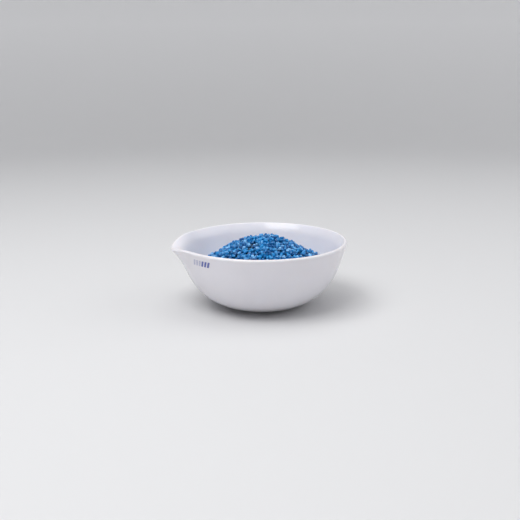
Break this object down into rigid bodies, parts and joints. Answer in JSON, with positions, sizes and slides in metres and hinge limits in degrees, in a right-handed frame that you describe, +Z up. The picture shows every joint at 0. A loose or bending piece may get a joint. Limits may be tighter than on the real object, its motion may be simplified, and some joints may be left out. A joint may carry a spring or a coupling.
{
  "type": "evaporating dish",
  "caption": "Flat-bottomed porcelain evaporating dish with a rounded rim and a pinched pouring lip, holding a heap of short blue plastic granules.",
  "frame": {"origin": "centre of the dish's flat foot, on the surface it stands on", "axes": "+Z up out of the bowl, -X towards the pouring lip, +Y to the side, so the XZ plane is the dish's plane of symmetry"},
  "size_m": [0.1657, 0.16, 0.0669],
  "materials": {
    "glazed_porcelain": "gloss",
    "blue_plastic": "satin"
  },
  "bodies": {
    "dish": {"dish_body": "glazed_porcelain"},
    "granulate": {"granulate_heap": "blue_plastic", "granule_01": "blue_plastic", "granule_02": "blue_plastic", "granule_03": "blue_plastic", "granule_04": "blue_plastic", "granule_05": "blue_plastic", "granule_06": "blue_plastic", "granule_07": "blue_plastic", "granule_08": "blue_plastic", "granule_09": "blue_plastic", "granule_10": "blue_plastic", "granule_11": "blue_plastic", "granule_12": "blue_plastic", "granule_13": "blue_plastic", "granule_14": "blue_plastic", "granule_15": "blue_plastic", "granule_16": "blue_plastic", "granule_17": "blue_plastic", "granule_18": "blue_plastic", "granule_19": "blue_plastic", "granule_20": "blue_plastic", "granule_21": "blue_plastic", "granule_22": "blue_plastic", "granule_23": "blue_plastic", "granule_24": "blue_plastic", "granule_25": "blue_plastic", "granule_26": "blue_plastic", "granule_27": "blue_plastic", "granule_28": "blue_plastic", "granule_29": "blue_plastic", "granule_30": "blue_plastic"}
  },
  "joints": [
    {"name": "granulate_lift", "type": "slide", "parent": "dish", "child": "granulate", "axis": [0, 0, 1], "range_m": [0, 0.08]}
  ]
}
